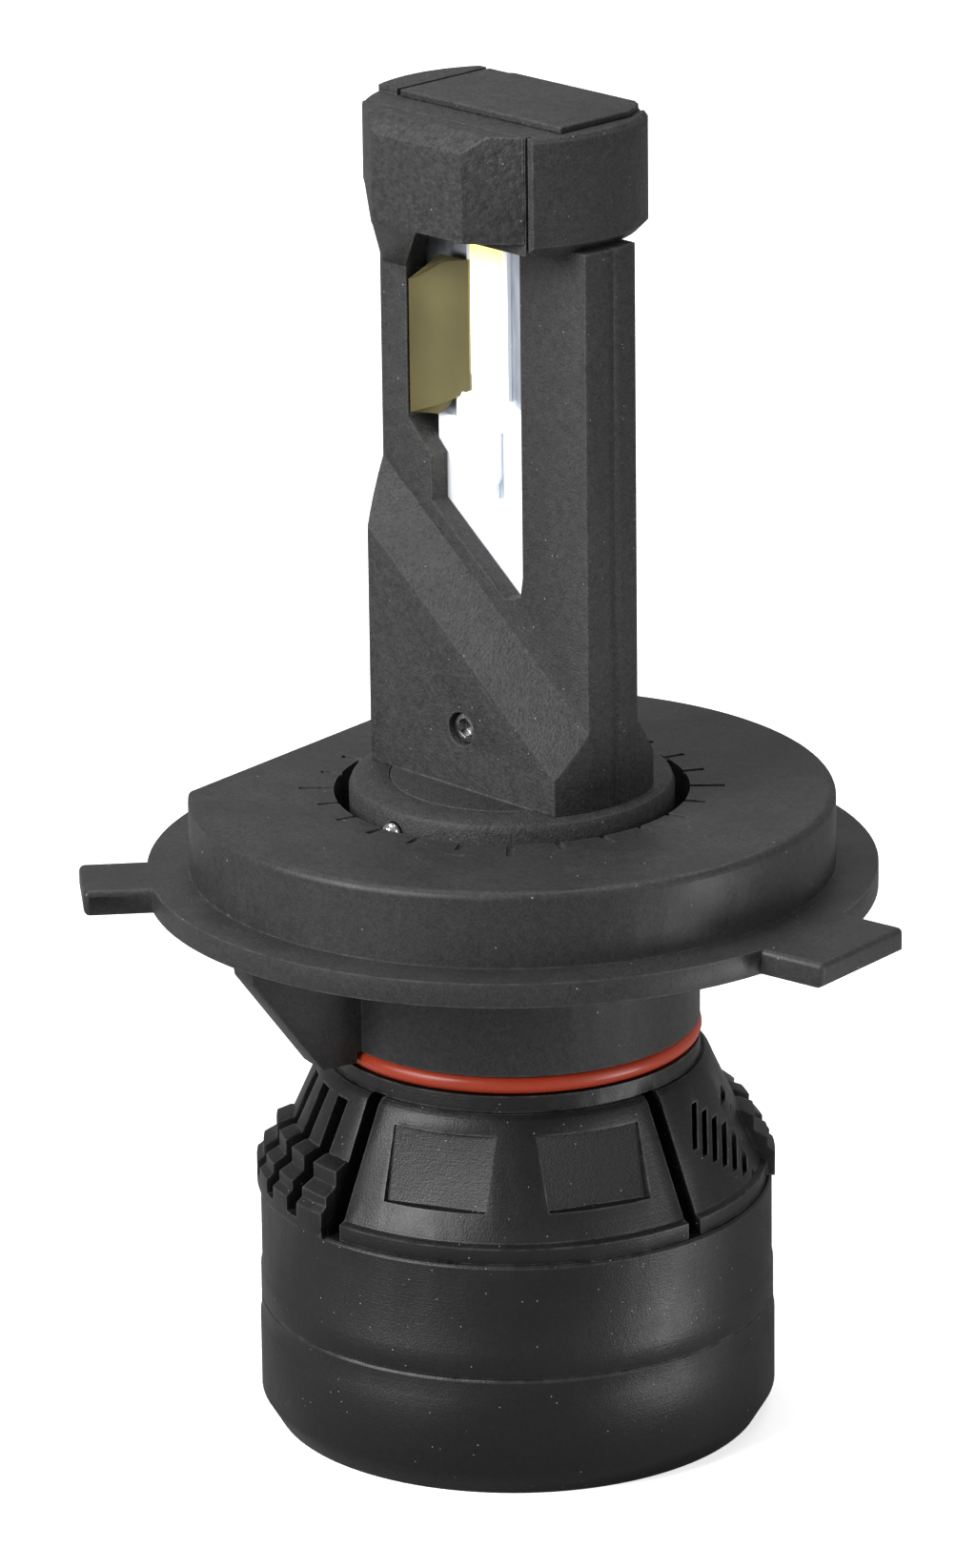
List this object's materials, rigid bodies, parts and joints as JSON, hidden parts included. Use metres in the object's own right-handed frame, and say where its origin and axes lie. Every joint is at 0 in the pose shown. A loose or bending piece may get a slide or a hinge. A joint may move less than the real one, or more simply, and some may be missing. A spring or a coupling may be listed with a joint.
{
  "type": "headlight bulb",
  "caption": "LED headlight bulb: slim LED tower on a finned, fan-cooled heat sink, with a turning three-lug adapter ring that slides off.",
  "frame": {"origin": "on the bulb's axis, in the plane of the adapter ring's top face, which seats against the lamp", "axes": "+Z along the bulb's axis towards its tip; +X the bulb's twelve o'clock side; the LED boards face -Y and +Y"},
  "size_m": [0.0475, 0.043, 0.0801],
  "materials": {
    "black_cast": "black powder-coated die casting with a fine sandy sparkle",
    "grained_black": "black coating with a pebbled leather-like grain",
    "satin_black": "satin black coating on cast aluminium",
    "anodised_black": "black anodised, fine bead-blasted",
    "screw_steel": "dark zinc",
    "bright_steel": "polished steel",
    "plated_copper": "nickel-plated copper, milled",
    "board_white": "white solder mask",
    "phosphor": "yellow phosphor in clear silicone, lit",
    "scoop_olive": "olive anodised reflector, satin",
    "seal_silicone": "orange-red silicone",
    "board_green": "green solder mask",
    "chip_black": "moulded epoxy",
    "ferrite": "sintered ferrite",
    "capacitor_sleeve": "shrink sleeve",
    "bronze": "sintered bronze",
    "lamination": "stacked electrical steel",
    "winding": "enamelled copper wire",
    "fan_plastic": "black glass-filled nylon",
    "grommet_rubber": "moulded rubber"
  },
  "bodies": {
    "bulb": {"tower_front_half": "black_cast", "tower_rear_half": "black_cast", "tower_cap": "black_cast", "cap_plate": "black_cast", "neck_collar": "black_cast", "front_mask": "grained_black", "rear_mask": "grained_black", "heat_sink": "anodised_black", "fan_housing": "anodised_black", "tower_screws": "screw_steel", "cover_screws": "screw_steel", "detent_spring": "bright_steel", "copper_core": "plated_copper", "led_board_front": "board_white", "led_board_rear": "board_white", "low_beam_led_front": "phosphor", "low_beam_led_rear": "phosphor", "high_beam_led_front": "phosphor", "high_beam_led_rear": "phosphor", "low_beam_shield_front": "scoop_olive", "low_beam_shield_rear": "scoop_olive", "driver_board": "board_green", "fan_board": "board_green", "driver_chip": "chip_black", "driver_inductor": "ferrite", "driver_capacitors": "capacitor_sleeve", "bearing_sleeve": "bronze", "fan_stator": "lamination", "fan_coils": "winding", "intake_grille": "fan_plastic", "cable_grommet": "grommet_rubber"},
    "seal": {"o_ring": "seal_silicone"},
    "adapter": {"adapter": "satin_black"},
    "fan": {"fan_rotor": "fan_plastic", "rotor_magnet": "ferrite", "fan_shaft": "bright_steel"},
    "index_ball": {"detent_ball": "bright_steel"}
  },
  "joints": [
    {"name": "adapter_turn", "type": "hinge", "parent": "bulb", "child": "seal", "pos_m": [0, 0, 0], "axis": [0, 0, 1], "continuous": true},
    {"name": "adapter_pull", "type": "slide", "parent": "seal", "child": "adapter", "axis": [0, 0, 1], "range_m": [0, 0.056]},
    {"name": "fan_spin", "type": "hinge", "parent": "bulb", "child": "fan", "pos_m": [0, 0, -0.029], "axis": [0, 0, 1], "continuous": true},
    {"name": "ball_press", "type": "slide", "parent": "bulb", "child": "index_ball", "axis": [0, 1, 0], "range_m": [0, 0.0005], "stiffness_N_per_m": 400, "springref_m": -0.0005, "deforming": ["detent_spring"]}
  ]
}
